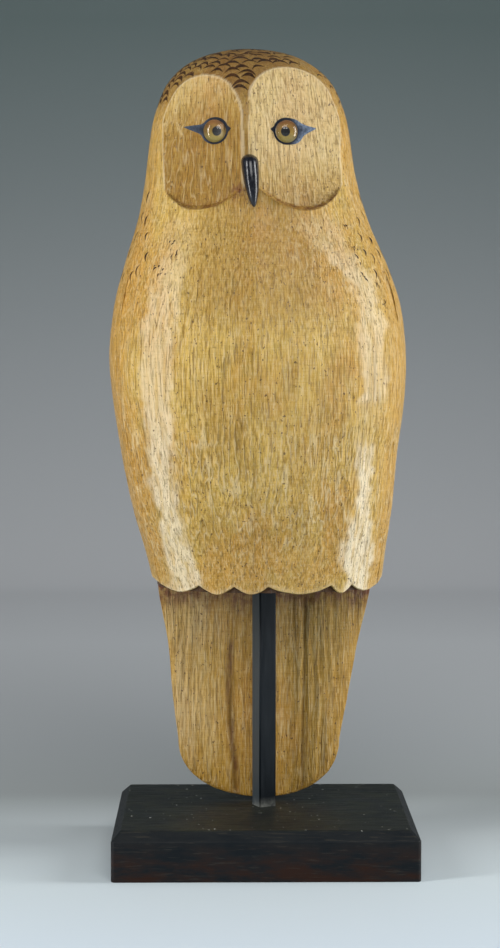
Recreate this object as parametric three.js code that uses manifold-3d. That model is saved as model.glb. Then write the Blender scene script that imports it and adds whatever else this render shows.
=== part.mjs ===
// A folk carving of an owl, held up by a square post on a bevelled block.
// Millimetres. X runs to the viewer's right, Y away from the viewer, Z up.
// The origin is the centre of the block's underside.
import * as THREE from "three";
import { mergeVertices } from "three/addons/utils/BufferGeometryUtils.js";
import Module from "manifold-3d";

const wasm = await Module();
wasm.setup();

const { lerp, clamp, degToRad } = THREE.MathUtils;

// The room left round a piece that is let into its neighbour.
const gap = 0.3;

const block = { width: 254, depth: 203.2, height: 41.3, bevel: 7.9, corner: 3.5, arris: 0.8 };
const post = { side: 15.9, corner: 2, turn: 25, y: 5, intoBlock: 24, intoOwl: 42 };

// The main levels of the carving, above the block's underside.
const level = { crown: 686, brow: 600, breastFoot: 250, skirt: 235, tailTip: 43.8 };

// The torso and head below the dome: how far the wood reaches each way at a few heights.
// The sections are widest at centre, and fullness is the power of their rounding.
const torso = {
  z: [235, 262, 300, 345, 390, 430, 470, 505, 540, 570, 600, 640],
  left: [95.3, 101.8, 112.5, 121.8, 128.7, 131.8, 128, 119, 108.1, 102, 98.4, 93.6],
  right: [101, 104.3, 109.6, 113.4, 119.2, 120.3, 115.8, 104.6, 89.4, 80, 74.4, 69.6],
  front: [75, 82.5, 92, 100.5, 105.5, 106, 102.5, 97, 88.5, 84, 82.5, 80.5],
  back: [64, 68, 74, 80.5, 85, 87, 86.5, 84.5, 82.5, 82, 82, 81],
  centre: [14, 10, 5, 1, 0, 0, 0, 0, 0, 0, 0, 0],
  fullness: [2.5, 2.45, 2.4, 2.35, 2.3, 2.25, 2.2, 2.15, 2.1, 2.1, 2.1, 2.1],
};

// The middle line bends to the left as it rises.
const lean = { head: -16, headHeight: 640, bend: 1.3 };

// Over the brow the head closes in a dome.
const dome = { rise: 3, round: 2.2 };

// The long flats down the breast and sides, bounded at shares of the half width.
const flats = { edges: [0, 0.33, 0.6, 0.85], amount: 0.55, fadeFrom: 500, fadeTo: 560 };

// The facial discs are planed flat, each from an inner edge by the ridge to an outer edge.
const disc = {
  left: { inner: 6.2, outer: 70.5, lean: 0.1, turnBack: 0.04 },
  right: { inner: 0.2, outer: 75.5, lean: 0.21, turnBack: -0.04 },
  steady: 622,
  foot: 551,
  footMiddle: 45,
  innerRise: 9,
  innerRun: 30,
  outerRise: 12.5,
  outerRun: 25,
  outerEnd: 35,
  ledge: 0.42,
  rows: [579, 590, 600, 611, 622, 652, 694],
  frontY: -150,
  clear: 12,
};

// The skirt of feather ends: the cusps between its lobes in front, and even lobes behind.
const skirt = {
  cusps: [-92, -55, -26, 2, 55, 72, 99],
  backLobes: 6,
  cuspRise: 5.5,
  drop: 7.5,
  thickness: 4.5,
  hem: 234,
};

// The tail comes out from under the skirt behind the post: flat in front, rounded behind.
const tail = {
  z: [95, 130, 180, 222, 240],
  left: [74.5, 79, 83.5, 91, 93],
  right: [66.3, 73, 82.2, 92, 94],
  back: [47, 50.5, 55, 58, 58],
  front: 24,
  edge: 30,
  rounding: { front: 4, back: 2.5 },
  roundFrom: 95,
  curve: 2.2,
};

// The beak is a long drop, let into the foot of the ridge, that hooks forward and down.
const beak = {
  top: 592.5,
  tip: 549.3,
  width: 14.2,
  widestAt: 0.148,
  taper: 1.8,
  rootY: -80,
  forward: 11,
  depth: { top: 11, tip: 8 },
  drift: 1.6,
};

const eye = { across: 18.4, dome: 5, seat: 6, height: 612, turn: 18, left: -27, right: 31.5, proud: 1 };

// The columns that the carving is drawn with, in front and behind.
const columns = { front: 44, back: 26 };

const smooth = (from, to, v) => THREE.MathUtils.smoothstep(v, from, to);

// A smooth curve through the values at the given places.
function curveAt(places, values, at) {
  const last = places.length - 1;
  if (at <= places[0]) return values[0];
  if (at >= places[last]) return values[last];
  let i = 0;
  while (places[i + 1] < at) i += 1;
  const run = places[i + 1] - places[i];
  const t = (at - places[i]) / run;
  const slopeAt = (k) => {
    const before = Math.max(k - 1, 0);
    const after = Math.min(k + 1, last);
    return (values[after] - values[before]) / (places[after] - places[before]);
  };
  const t2 = t * t;
  const t3 = t2 * t;
  return (
    (2 * t3 - 3 * t2 + 1) * values[i] +
    (t3 - 2 * t2 + t) * run * slopeAt(i) +
    (3 * t2 - 2 * t3) * values[i + 1] +
    (t3 - t2) * run * slopeAt(i + 1)
  );
}

const rounded = (share, power, root = power) =>
  Math.max(0, 1 - Math.abs(share) ** power) ** (1 / root);

function middleX(z) {
  const up = Math.max(0, (z - level.skirt) / (lean.headHeight - level.skirt));
  return lean.head * up ** lean.bend;
}

// The section of the torso or head at a height.
function torsoSection(z) {
  const rise = clamp((z - level.brow) / (level.crown - level.brow), 0, 1);
  const shrink = rounded(rise, dome.rise, dome.round);
  const middle = middleX(Math.min(z, level.brow));
  const valueAt = (name) => curveAt(torso.z, torso[name], z);
  const centre = valueAt("centre");
  return {
    middle,
    centre,
    left: (valueAt("left") + middle) * shrink,
    right: (valueAt("right") - middle) * shrink,
    front: (valueAt("front") + centre) * shrink,
    back: (valueAt("back") - centre) * shrink,
    power: valueAt("fullness"),
  };
}

// How deep a section is at a share of its half width, with the flats worked in.
function depthShare(share, power, z) {
  const round = rounded(share, power);
  const size = Math.abs(share);
  const amount = flats.amount * (1 - smooth(flats.fadeFrom, flats.fadeTo, z));
  const next = flats.edges.findIndex((edge) => edge > size);
  if (next < 1) return round;
  const from = flats.edges[next - 1];
  const to = flats.edges[next];
  const flat = lerp(rounded(from, power), rounded(to, power), (size - from) / (to - from));
  return lerp(round, flat, amount);
}

// A point of the torso or head before the discs are cut. Share is -1 at the left, 1 at the right.
function torsoPoint(share, isFront, z) {
  const s = torsoSection(z);
  const reach = depthShare(share, s.power, z);
  return new THREE.Vector3(
    s.middle + share * (share < 0 ? s.left : s.right),
    s.centre + (isFront ? -s.front * reach : s.back * reach),
    z,
  );
}

// Where the front of the torso lies at a place across.
function torsoFrontY(x, z) {
  const s = torsoSection(z);
  const offset = x - s.middle;
  const share = Math.min(1, Math.abs(offset) / (offset < 0 ? s.left : s.right));
  return s.centre - s.front * depthShare(share, s.power, z);
}

// The flat of a facial disc: a chord between its two edges, kept steady above the eyes.
function discY(x, z, sign) {
  const at = Math.min(z, disc.steady);
  const middle = middleX(Math.min(z, level.brow));
  const side = sign < 0 ? disc.left : disc.right;
  const chordMiddle = middleX(Math.min(at, level.brow));
  const innerY = torsoFrontY(chordMiddle + sign * side.inner, at);
  const outerY = torsoFrontY(chordMiddle + sign * side.outer, at);
  const along = (Math.abs(x - middle) - side.inner) / (side.outer - side.inner);
  const above = Math.max(0, z - disc.steady);
  return lerp(innerY, outerY, along) + above * (side.lean + side.turnBack * along);
}

// The lower edge of the discs, seen from the front.
function discFootZ(x) {
  const away = Math.abs(x - middleX(disc.foot));
  const inner = Math.max(0, disc.footMiddle - away) / disc.innerRun;
  const outer = clamp(away - disc.footMiddle, 0, disc.outerEnd) / disc.outerRun;
  return disc.foot + disc.innerRise * inner ** 2 + disc.outerRise * outer ** 2.2;
}

// The scalloped lower edge of the skirt.
function skirtEdgeZ(x, isFront) {
  const first = skirt.cusps[0];
  const last = skirt.cusps[skirt.cusps.length - 1];
  const across = clamp(x, first, last - 0.001);
  const next = skirt.cusps.findIndex((cusp) => cusp > across);
  const start = skirt.cusps[next - 1];
  const inFront = (across - start) / (skirt.cusps[next] - start);
  const behind = (((across - first) / (last - first)) * skirt.backLobes) % 1;
  return level.skirt + skirt.cuspRise - skirt.drop * Math.sin(Math.PI * (isFront ? inFront : behind)) ** 0.7;
}

// The share of the half width, moved onto a cusp of the skirt where one is near.
function nearCusp(share) {
  const s = torsoSection(level.skirt);
  const halfStep = Math.PI / columns.front / 2;
  for (const cusp of skirt.cusps) {
    const cuspShare = clamp(cusp / (cusp < 0 ? s.left : s.right), -1, 1);
    if (Math.abs(Math.asin(share) - Math.asin(cuspShare)) < halfStep) return cuspShare;
  }
  return share;
}

function tailPoint(share, isFront, z) {
  const at = Math.max(z, tail.roundFrom);
  const fall = clamp((tail.roundFrom - z) / (tail.roundFrom - level.tailTip), 0, 1);
  const shrink = rounded(fall, tail.curve);
  const half = curveAt(tail.z, share < 0 ? tail.left : tail.right, at) * shrink;
  const thin = 0.5 + 0.5 * shrink;
  const front = (tail.edge - tail.front) * rounded(share, tail.rounding.front) * thin;
  const back = (curveAt(tail.z, tail.back, at) - tail.edge) * rounded(share, tail.rounding.back) * thin;
  return new THREE.Vector3(share * half, tail.edge + (isFront ? -front : back), z);
}

// Closes a stack of equal rings, from the top down, with a point at each end.
function closedStack(rings, firstPoint, lastPoint) {
  const count = rings[0].length;
  const vertices = [firstPoint, ...rings.flat(), lastPoint];
  const at = (r, j) => 1 + r * count + (j % count);
  const faces = [];
  for (let j = 0; j < count; j += 1) {
    faces.push(0, at(0, j), at(0, j + 1));
    faces.push(vertices.length - 1, at(rings.length - 1, j + 1), at(rings.length - 1, j));
    for (let r = 0; r < rings.length - 1; r += 1) {
      faces.push(at(r, j), at(r + 1, j), at(r + 1, j + 1));
      faces.push(at(r, j), at(r + 1, j + 1), at(r, j + 1));
    }
  }
  return new THREE.BufferGeometry().setFromPoints(vertices).setIndex(faces);
}

const middleOf = (ring) =>
  ring.reduce((sum, p) => sum.add(p), new THREE.Vector3()).divideScalar(ring.length);

function solidOf(geometry) {
  const bare = geometry.clone();
  bare.deleteAttribute("normal");
  bare.deleteAttribute("uv");
  const merged = mergeVertices(bare, 1e-4);
  return new wasm.Manifold(
    new wasm.Mesh({
      numProp: 3,
      vertProperties: new Float32Array(merged.attributes.position.array),
      triVerts: new Uint32Array(merged.index.array),
    }),
  );
}

function geometryOf(solid) {
  const mesh = solid.getMesh();
  const geometry = new THREE.BufferGeometry();
  geometry.setAttribute("position", new THREE.BufferAttribute(mesh.vertProperties, 3));
  geometry.setIndex(new THREE.BufferAttribute(mesh.triVerts, 1));
  return geometry;
}

// A facial disc as a body to cut away: behind it the flat, below it a ledge that slopes forward.
function discCutter(side) {
  const sign = side === "left" ? -1 : 1;
  const across = 14;
  const reach = disc[side].outer + disc.clear;
  const lowest = (disc.foot + disc.rows[0]) / 2;
  const heightAt = (x, k) => {
    if (k === 0) return discFootZ(x);
    return k === 1 ? Math.max(lowest, discFootZ(x) + 1) : disc.rows[k - 2];
  };
  const pointAt = (i, k, inFront) => {
    const away = sign * reach * (i / across);
    const z = heightAt(middleX(disc.foot) + away, k);
    const x = middleX(Math.min(z, level.brow)) + away;
    const y = discY(x, z, sign);
    if (!inFront) return new THREE.Vector3(x, y, z);
    const fall = k === 0 ? (y - disc.frontY) * disc.ledge : 0;
    return new THREE.Vector3(x, disc.frontY, z - fall);
  };
  return slab(across, disc.rows.length + 1, pointAt, sign > 0);
}

// A closed body between two equal grids of points, one behind and one in front.
function slab(across, up, pointAt, isRight) {
  const vertices = [];
  const at = (i, k, inFront) => (inFront ? (across + 1) * (up + 1) : 0) + k * (across + 1) + i;
  for (const inFront of [false, true]) {
    for (let k = 0; k <= up; k += 1) {
      for (let i = 0; i <= across; i += 1) vertices.push(pointAt(i, k, inFront));
    }
  }
  const faces = [];
  const quad = (a, b, c, d) => faces.push(a, b, c, a, c, d);
  for (let k = 0; k < up; k += 1) {
    for (let i = 0; i < across; i += 1) {
      quad(at(i, k, true), at(i + 1, k, true), at(i + 1, k + 1, true), at(i, k + 1, true));
      quad(at(i, k, false), at(i, k + 1, false), at(i + 1, k + 1, false), at(i + 1, k, false));
    }
    quad(at(0, k, false), at(0, k, true), at(0, k + 1, true), at(0, k + 1, false));
    quad(at(across, k, true), at(across, k, false), at(across, k + 1, false), at(across, k + 1, true));
  }
  for (let i = 0; i < across; i += 1) {
    quad(at(i, 0, false), at(i + 1, 0, false), at(i + 1, 0, true), at(i, 0, true));
    quad(at(i, up, true), at(i + 1, up, true), at(i + 1, up, false), at(i, up, false));
  }
  if (!isRight) faces.reverse();
  return new THREE.BufferGeometry().setFromPoints(vertices).setIndex(faces);
}

function owlRings() {
  const angles = [];
  for (let j = 0; j <= columns.front; j += 1) angles.push(Math.PI * (j / columns.front - 0.5));
  for (let j = 1; j < columns.back; j += 1) angles.push(Math.PI * (j / columns.back + 0.5));
  const ringOf = (pointAt) => angles.map((a, j) => pointAt(Math.sin(a), j <= columns.front));
  const rings = [];
  const domeRings = 13;
  for (let i = 1; i <= domeRings; i += 1) {
    const up = Math.cos((i / domeRings) * (Math.PI / 2)) ** 0.7;
    const z = lerp(level.brow, level.crown, up);
    rings.push(ringOf((share, front) => torsoPoint(share, front, z)));
  }
  const breastRings = 21;
  for (let i = 1; i <= breastRings; i += 1) {
    const z = lerp(level.brow, level.breastFoot, i / breastRings);
    rings.push(ringOf((share, front) => torsoPoint(share, front, z)));
  }
  const edge = (share, front) => {
    const onCusp = front ? nearCusp(share) : share;
    const p = torsoPoint(onCusp, front, level.skirt);
    return torsoPoint(onCusp, front, skirtEdgeZ(p.x, front));
  };
  const inset = (p) => {
    const inward = new THREE.Vector3(-p.x, 14 - p.y, 0).setLength(skirt.thickness);
    return p.clone().add(inward);
  };
  rings.push(ringOf(edge));
  rings.push(ringOf((share, front) => inset(edge(share, front)).add(new THREE.Vector3(0, 0, 1))));
  rings.push(
    ringOf((share, front) => {
      const z = Math.min(skirt.hem, edge(share, front).z - 0.5);
      return inset(edge(share, front)).setZ(z);
    }),
  );
  const tailTop = skirt.hem + 1;
  rings.push(ringOf((share, front) => tailPoint(share, front, tailTop)));
  const tailRings = 8;
  for (let i = 1; i <= tailRings; i += 1) {
    const z = lerp(tailTop, tail.roundFrom, i / tailRings);
    rings.push(ringOf((share, front) => tailPoint(share, front, z)));
  }
  const tipRings = 6;
  for (let i = 1; i < tipRings; i += 1) {
    const z = lerp(tail.roundFrom, level.tailTip, Math.sin((i / tipRings) * (Math.PI / 2)));
    rings.push(ringOf((share, front) => tailPoint(share, front, z)));
  }
  return rings;
}

// The beak as a stack of ovals. Grow makes the seat that it is let into.
function beakGeometry(grow) {
  const around = 18;
  const steps = 15;
  const pointAt = (t, a) => {
    const above = Math.max(0, 1 - t / beak.widestAt);
    const below = Math.max(0, (t - beak.widestAt) / (1 - beak.widestAt));
    const full = rounded(above, 2) * rounded(below, beak.taper);
    const half = (beak.width / 2) * full + grow;
    const deep = lerp(beak.depth.top, beak.depth.tip, t) * full ** 0.8 + grow;
    const z = lerp(beak.top + grow, beak.tip - grow, t);
    const x = middleX(z) + beak.drift * t ** 1.5;
    const y = beak.rootY - beak.forward * Math.sin((Math.PI / 2) * t ** 0.8);
    return new THREE.Vector3(x + half * Math.sin(a), y - deep * Math.cos(a), z);
  };
  const rings = [];
  for (let i = 1; i < steps; i += 1) {
    const t = 0.5 - 0.5 * Math.cos((Math.PI * i) / steps);
    rings.push(Array.from({ length: around }, (_, j) => pointAt(t, (2 * Math.PI * j) / around)));
  }
  return closedStack(rings, pointAt(0, Math.PI / 2), pointAt(1, Math.PI / 2));
}

// A glass eye: a domed front on a round stem, looking along -Y.
function eyeGeometry(grow) {
  const half = eye.across / 2 + grow;
  const stem = eye.seat + grow;
  const profile = [new THREE.Vector2(0, -stem), new THREE.Vector2(half, -stem)];
  const steps = 6;
  for (let i = 0; i <= steps; i += 1) {
    const a = (i / steps) * (Math.PI / 2);
    const out = i === steps ? 0 : half * Math.cos(a);
    profile.push(new THREE.Vector2(out, eye.proud + (eye.dome + grow) * Math.sin(a)));
  }
  return new THREE.LatheGeometry(profile, 22).rotateX(Math.PI);
}

function eyePlace(side) {
  const x = middleX(eye.height) + eye[side];
  const place = new THREE.Group();
  place.position.set(x, discY(x, eye.height, side === "left" ? -1 : 1), eye.height);
  place.rotation.z = degToRad(side === "left" ? -eye.turn : eye.turn);
  place.updateMatrixWorld(true);
  return place;
}

// A closed loop of a rectangle with round corners, anticlockwise from above.
function roundedRectangle(width, depth, corner) {
  const steps = 4;
  const loop = [];
  for (const [quarter, signX, signY] of [[0, 1, 1], [1, -1, 1], [2, -1, -1], [3, 1, -1]]) {
    for (let i = 0; i <= steps; i += 1) {
      const a = (quarter + i / steps) * (Math.PI / 2);
      const x = signX * (width / 2 - corner) + corner * Math.cos(a);
      const y = signY * (depth / 2 - corner) + corner * Math.sin(a);
      loop.push(new THREE.Vector3(x, y, 0));
    }
  }
  return loop;
}

const liftedTo = (loop, z) => loop.map((p) => p.clone().setZ(z));

// The square bar, turned about its length.
function postGeometry(grow) {
  const side = post.side + 2 * grow;
  const loop = roundedRectangle(side, side, post.corner);
  const top = liftedTo(loop, skirt.hem + post.intoOwl + grow);
  const foot = liftedTo(loop, block.height - post.intoBlock - grow);
  return closedStack([top, foot], middleOf(top), middleOf(foot))
    .rotateZ(degToRad(post.turn))
    .translate(0, post.y, 0);
}

// The block, bevelled round its top, with its lower edges just eased.
function blockGeometry() {
  const loopAt = (inset, z) =>
    liftedTo(roundedRectangle(block.width - 2 * inset, block.depth - 2 * inset, block.corner), z);
  const rings = [
    loopAt(block.bevel, block.height),
    loopAt(0, block.height - block.bevel),
    loopAt(0, block.arris),
    loopAt(block.arris, 0),
  ];
  return closedStack(rings, middleOf(rings[0]), middleOf(rings[3]));
}

// The carving, with seats for the beak and the eyes and a blind hole for the post.
function owlGeometry() {
  const crown = torsoPoint(0, true, level.crown);
  const tip = tailPoint(0, true, level.tailTip).setY(tail.edge);
  let solid = solidOf(closedStack(owlRings(), crown, tip));
  solid = solid.subtract(solidOf(discCutter("left"))).subtract(solidOf(discCutter("right")));
  solid = solid.subtract(solidOf(beakGeometry(gap)));
  for (const side of ["left", "right"]) {
    solid = solid.subtract(solidOf(eyeGeometry(gap).applyMatrix4(eyePlace(side).matrixWorld)));
  }
  return geometryOf(solid.subtract(solidOf(postGeometry(gap))));
}

const finish = (color, roughness, metalness = 0) =>
  new THREE.MeshStandardMaterial({ color, roughness, metalness });

const paintedWood = () => finish(0xc9a055, 0.55);
const hornBlack = () => finish(0x14161a, 0.15);
const amberGlass = () => finish(0x8a6a20, 0.05);
const blackSteel = () => finish(0x22262a, 0.4, 0.6);
const blackPaint = () => finish(0x1c1d1e, 0.5);

const object = new THREE.Group();

function addPiece(name, geometry, material) {
  const mesh = new THREE.Mesh(geometry, material);
  mesh.name = name;
  object.add(mesh);
  return mesh;
}

addPiece("owl_body", owlGeometry(), paintedWood());
addPiece("beak", beakGeometry(0), hornBlack());
for (const side of ["left", "right"]) {
  const glassEye = addPiece(`glass_eye_${side}`, eyeGeometry(0), amberGlass());
  const place = eyePlace(side);
  glassEye.position.copy(place.position);
  glassEye.rotation.copy(place.rotation);
}
addPiece("post", postGeometry(0), blackSteel());
const mortised = solidOf(blockGeometry()).subtract(solidOf(postGeometry(gap)));
addPiece("base", geometryOf(mortised), blackPaint());

export default object;
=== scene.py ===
import math

import bmesh
import bpy
import numpy as np
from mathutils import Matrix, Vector
from mathutils.bvhtree import BVHTree


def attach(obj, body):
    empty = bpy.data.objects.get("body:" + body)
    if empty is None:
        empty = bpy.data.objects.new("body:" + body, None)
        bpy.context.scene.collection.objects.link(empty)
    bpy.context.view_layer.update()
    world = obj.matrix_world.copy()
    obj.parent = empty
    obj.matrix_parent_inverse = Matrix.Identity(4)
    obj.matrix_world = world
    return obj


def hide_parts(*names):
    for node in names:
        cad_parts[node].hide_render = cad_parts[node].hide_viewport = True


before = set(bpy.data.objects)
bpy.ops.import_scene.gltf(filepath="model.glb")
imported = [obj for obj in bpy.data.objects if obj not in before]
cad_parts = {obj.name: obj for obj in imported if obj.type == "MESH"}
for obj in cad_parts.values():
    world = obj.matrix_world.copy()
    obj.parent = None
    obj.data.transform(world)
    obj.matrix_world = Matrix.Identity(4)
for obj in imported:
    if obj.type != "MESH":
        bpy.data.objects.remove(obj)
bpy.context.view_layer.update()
mm = 0.001

# The form of the carving, in millimetres above the block's underside, as in the solid.
level = {"crown": 686, "brow": 600, "skirt": 235, "hem": 234, "tailTip": 43.8}

torso = {
    "z": [235, 262, 300, 345, 390, 430, 470, 505, 540, 570, 600, 640],
    "left": [95.3, 101.8, 112.5, 121.8, 128.7, 131.8, 128, 119, 108.1, 102, 98.4, 93.6],
    "right": [101, 104.3, 109.6, 113.4, 119.2, 120.3, 115.8, 104.6, 89.4, 80, 74.4, 69.6],
    "front": [75, 82.5, 92, 100.5, 105.5, 106, 102.5, 97, 88.5, 84, 82.5, 80.5],
    "back": [64, 68, 74, 80.5, 85, 87, 86.5, 84.5, 82.5, 82, 82, 81],
    "centre": [14, 10, 5, 1, 0, 0, 0, 0, 0, 0, 0, 0],
    "fullness": [2.5, 2.45, 2.4, 2.35, 2.3, 2.25, 2.2, 2.15, 2.1, 2.1, 2.1, 2.1],
}
lean = {"head": -16, "headHeight": 640, "bend": 1.3}
dome = {"rise": 3, "round": 2.2}
flats = {"edges": [0, 0.33, 0.6, 0.85], "amount": 0.55, "fadeFrom": 500, "fadeTo": 560}
disc = {
    "left": {"inner": 6.2, "outer": 70.5, "lean": 0.1, "turnBack": 0.04},
    "right": {"inner": 0.2, "outer": 75.5, "lean": 0.21, "turnBack": -0.04},
    "steady": 622,
    "foot": 551,
    "lowest": 540,
    "footMiddle": 45,
    "innerRise": 9,
    "innerRun": 30,
    "outerRise": 12.5,
    "outerRun": 25,
    "outerEnd": 35,
    "ledge": 0.42,
}
skirt = {
    "cusps": [-92, -55, -26, 2, 55, 72, 99],
    "backLobes": 6,
    "cuspRise": 5.5,
    "drop": 7.5,
    "bite": 1.1,
    "thickness": 4.5,
    "middle": 14,
}
tail = {
    "z": [95, 130, 180, 222, 240],
    "left": [74.5, 79, 83.5, 91, 93],
    "right": [66.3, 73, 82.2, 92, 94],
    "back": [47, 50.5, 55, 58, 58],
    "front": 24,
    "edge": 30,
    "frontRound": 4,
    "backRound": 2.5,
    "roundFrom": 95,
    "curve": 2.2,
}
signs = {"left": -1, "right": 1}  # left and right as the owl is seen from the front


def mix(a, b, t):
    return a + (b - a) * t


def smooth(start, end, value):
    t = np.clip((value - start) / (end - start), 0, 1)
    return t * t * (3 - 2 * t)


def rounded(share, power, root=None):
    return np.maximum(0, 1 - np.abs(share) ** power) ** (1 / (root or power))


def curveAt(places, values, at):
    # a smooth curve through the values at the given places
    places = np.asarray(places, float)
    values = np.asarray(values, float)
    last = len(places) - 1
    before = np.maximum(np.arange(last + 1) - 1, 0)
    after = np.minimum(np.arange(last + 1) + 1, last)
    slopes = (values[after] - values[before]) / (places[after] - places[before])
    at = np.clip(at, places[0], places[-1])
    i = np.clip(np.searchsorted(places, at, side="right") - 1, 0, last - 1)
    run = places[i + 1] - places[i]
    t = (at - places[i]) / run
    t2 = t * t
    t3 = t2 * t
    return (
        (2 * t3 - 3 * t2 + 1) * values[i]
        + (t3 - 2 * t2 + t) * run * slopes[i]
        + (3 * t2 - 2 * t3) * values[i + 1]
        + (t3 - t2) * run * slopes[i + 1]
    )


def middleX(z):
    # the middle line of the owl, which leans to the left as it rises
    up = np.maximum(0, (z - level["skirt"]) / (lean["headHeight"] - level["skirt"]))
    return lean["head"] * up ** lean["bend"]


def headMiddleX(z):
    # the same line, upright above the brow
    return middleX(np.minimum(z, level["brow"]))


def torsoSection(z):
    rise = np.clip((z - level["brow"]) / (level["crown"] - level["brow"]), 0, 1)
    shrink = rounded(rise, dome["rise"], dome["round"])
    middle = headMiddleX(z)
    at = {name: curveAt(torso["z"], torso[name], z) for name in torso if name != "z"}
    return {
        "middle": middle,
        "centre": at["centre"],
        "left": (at["left"] + middle) * shrink,
        "right": (at["right"] - middle) * shrink,
        "front": (at["front"] + at["centre"]) * shrink,
        "back": (at["back"] - at["centre"]) * shrink,
        "fullness": at["fullness"],
    }


def chordShare(size, start, end, power):
    # the depth share along a straight cut from one share of the half width to another
    return mix(rounded(start, power), rounded(end, power), (size - start) / (end - start))


def depthShare(share, power, z):
    # how deep a section is at a share of its half width, with the long flats worked in
    curved = rounded(share, power)
    flat = curved
    size = np.abs(share)
    for start, end in zip(flats["edges"], flats["edges"][1:]):
        flat = np.where((size >= start) & (size < end), chordShare(size, start, end, power), flat)
    amount = flats["amount"] * (1 - smooth(flats["fadeFrom"], flats["fadeTo"], z))
    return mix(curved, flat, amount)


def torsoPlace(share, isFront, z):
    s = torsoSection(z)
    reach = depthShare(share, s["fullness"], z)
    x = s["middle"] + share * np.where(share < 0, s["left"], s["right"])
    y = s["centre"] + np.where(isFront, -s["front"] * reach, s["back"] * reach)
    return x, y


def torsoAt(turn, z):
    # the place at an angle from the middle of the front, in radians
    return torsoPlace(np.sin(turn), np.cos(turn) > 0, z)


def torsoFrontY(x, z):
    s = torsoSection(z)
    offset = x - s["middle"]
    half = np.maximum(np.where(offset < 0, s["left"], s["right"]), 0.01)
    share = np.minimum(1, np.abs(offset) / half)
    return s["centre"] - s["front"] * depthShare(share, s["fullness"], z)


def discFlatY(x, z, name):
    # the flat of one disc, which leans and turns back above its steady height
    side = disc[name]
    at = np.minimum(z, disc["steady"])
    innerY = torsoFrontY(headMiddleX(at) + signs[name] * side["inner"], at)
    outerY = torsoFrontY(headMiddleX(at) + signs[name] * side["outer"], at)
    along = (np.abs(x - headMiddleX(z)) - side["inner"]) / (side["outer"] - side["inner"])
    above = np.maximum(0, z - disc["steady"])
    return mix(innerY, outerY, along) + above * (side["lean"] + side["turnBack"] * along)


def discFootZ(x):
    away = np.abs(x - middleX(disc["foot"]))
    inner = np.maximum(0, disc["footMiddle"] - away) / disc["innerRun"]
    outer = np.clip(away - disc["footMiddle"], 0, disc["outerEnd"]) / disc["outerRun"]
    return disc["foot"] + disc["innerRise"] * inner**2 + disc["outerRise"] * outer**2.2


def discCutY(x, z):
    # the flat of the disc on this side, and below its foot the ledge that slopes forward
    flat = np.where(x < headMiddleX(z), discFlatY(x, z, "left"), discFlatY(x, z, "right"))
    return flat - np.maximum(0, discFootZ(x) - z) / disc["ledge"]


def tailPlace(share, isFront, z):
    at = np.maximum(z, tail["roundFrom"])
    fall = np.clip((tail["roundFrom"] - z) / (tail["roundFrom"] - level["tailTip"]), 0, 1)
    shrink = rounded(fall, tail["curve"])
    left = curveAt(tail["z"], tail["left"], at)
    right = curveAt(tail["z"], tail["right"], at)
    thin = 0.5 + 0.5 * shrink
    front = (tail["edge"] - tail["front"]) * rounded(share, tail["frontRound"]) * thin
    back = (curveAt(tail["z"], tail["back"], at) - tail["edge"]) * rounded(share, tail["backRound"]) * thin
    return share * np.where(share < 0, left, right) * shrink, tail["edge"] + np.where(isFront, -front, back)


# Knife and rasp work: each cut is a depth in millimetres below the form, never above it.
def chance(a, b, seed):
    # a steady number from 0 to 1 for each pair of whole numbers
    n = (a.astype(np.int64) * 374761393 + b.astype(np.int64) * 668265263 + seed * 362437) & 0xFFFFFFFF
    n = ((n ^ (n >> 13)) * 1274126177) & 0xFFFFFFFF
    return ((n ^ (n >> 16)) & 0xFFFF) / 65535


def ripple(across, along, seed):
    # soft irregular waves, about one unit long each way
    a = np.floor(across)
    b = np.floor(along)
    u = smooth(0, 1, across - a)
    v = smooth(0, 1, along - b)
    low = mix(chance(a, b, seed), chance(a + 1, b, seed), u)
    high = mix(chance(a, b + 1, seed), chance(a + 1, b + 1, seed), u)
    return mix(low, high, v)


def skirtEdgeZ(x, isFront):
    cusps = np.array(skirt["cusps"], float)
    across = np.clip(x, cusps[0], cusps[-1] - 0.001)
    k = np.clip(np.searchsorted(cusps, across, side="right") - 1, 0, len(cusps) - 2)
    inFront = (across - cusps[k]) / (cusps[k + 1] - cusps[k])
    behind = ((across - cusps[0]) / (cusps[-1] - cusps[0]) * skirt["backLobes"]) % 1
    lobe = np.where(isFront, inFront, behind)
    bitten = skirt["bite"] * ripple(x / 6.5, np.where(isFront, 0.5, 7.5), 71)
    return level["skirt"] + skirt["cuspRise"] - (skirt["drop"] - bitten) * np.sin(np.pi * lobe) ** 0.85


def scoops(across, along, width, length, seed):
    # rows of gouge cuts, each a hollow that starts steeply and runs out; depth from 0 to 1
    bend = (ripple(across / (3 * width), along / (2 * length), seed + 5) - 0.5) * 2.2
    lane = across / width + bend
    column = np.floor(lane)
    inLane = lane - column
    cutLength = length * (0.7 + 0.6 * chance(column, column * 0, seed))
    step = along / cutLength + 7 * chance(column, column * 0 + 3, seed)
    cell = np.floor(step)
    inCell = step - cell
    hollow = 1 - (2 * inLane - 1) ** 2
    run = np.sin(np.pi * np.clip(inCell, 0, 1) ** 0.55)
    return hollow * run * (0.35 + 0.65 * chance(column, cell, seed + 1))


def bell(offset, width):
    # 1 at the middle, falling softly away on both sides
    return np.exp(-((offset / width) ** 2))


def band(low, high, soft, value):
    # 1 between two limits, with soft ends
    return smooth(low - soft, low + soft, value) * smooth(high + soft, high - soft, value)


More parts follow.
